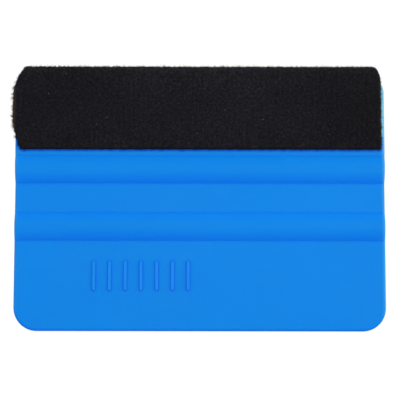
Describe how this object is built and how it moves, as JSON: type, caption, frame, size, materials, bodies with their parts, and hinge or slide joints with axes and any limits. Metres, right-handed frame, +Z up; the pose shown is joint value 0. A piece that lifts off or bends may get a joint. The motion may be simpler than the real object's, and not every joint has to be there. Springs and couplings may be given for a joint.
{
  "type": "squeegee applicator",
  "caption": "Flat moulded plastic squeegee card with two grip ribs on each face and a felt strip folded over its working edge, for pressing down vinyl film.",
  "frame": {"origin": "middle of the whole object's box in X and Y, at the surface that it rests on (Z = 0, the lower rib crests)", "axes": "+X along the working edge, +Y out of the working edge (the felt side), +Z up through the card's thickness"},
  "size_m": [0.1012, 0.0726, 0.005],
  "materials": {
    "card_plastic": "blue polypropylene, fine moulded grain, satin",
    "black_felt": "black brushed knitted felt, hand-cut ends",
    "adhesive": "double-sided acrylic adhesive film"
  },
  "bodies": {
    "root": {"card": "card_plastic", "felt_strip": "black_felt", "adhesive_film": "adhesive"}
  },
  "joints": []
}
